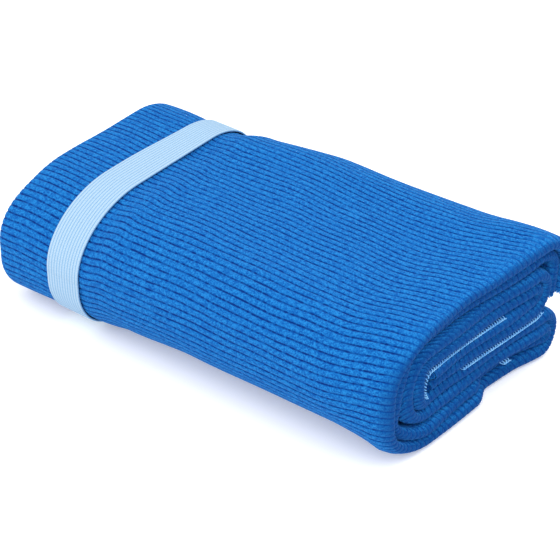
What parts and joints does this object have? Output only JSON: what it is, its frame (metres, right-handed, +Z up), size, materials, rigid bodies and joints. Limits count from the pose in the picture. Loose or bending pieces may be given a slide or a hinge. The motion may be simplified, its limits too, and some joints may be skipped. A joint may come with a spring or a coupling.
{
  "type": "quick dry towel",
  "caption": "Ribbed quick-dry cloth folded into a flat rounded pack, held near one end by a removable elastic loop.",
  "frame": {"origin": "middle of the underside of the folded pack", "axes": "+X along the ribs of the cloth towards the free end with its layered folds, +Y towards the back of the pack, +Z up"},
  "size_m": [0.284, 0.18, 0.084],
  "materials": {
    "towel_fabric": "matte",
    "elastic_webbing": "matte",
    "overlock_thread": "satin",
    "seam_thread": "satin"
  },
  "bodies": {
    "towel": {"towel_cloth": "towel_fabric", "short_edge_overlock": "overlock_thread", "long_edge_overlock": "overlock_thread"},
    "band": {"elastic_band": "elastic_webbing", "band_seam": "seam_thread"}
  },
  "joints": [
    {"name": "band_slide", "type": "slide", "parent": "towel", "child": "band", "axis": [-1, 0, 0], "range_m": [0, 0.066]}
  ]
}
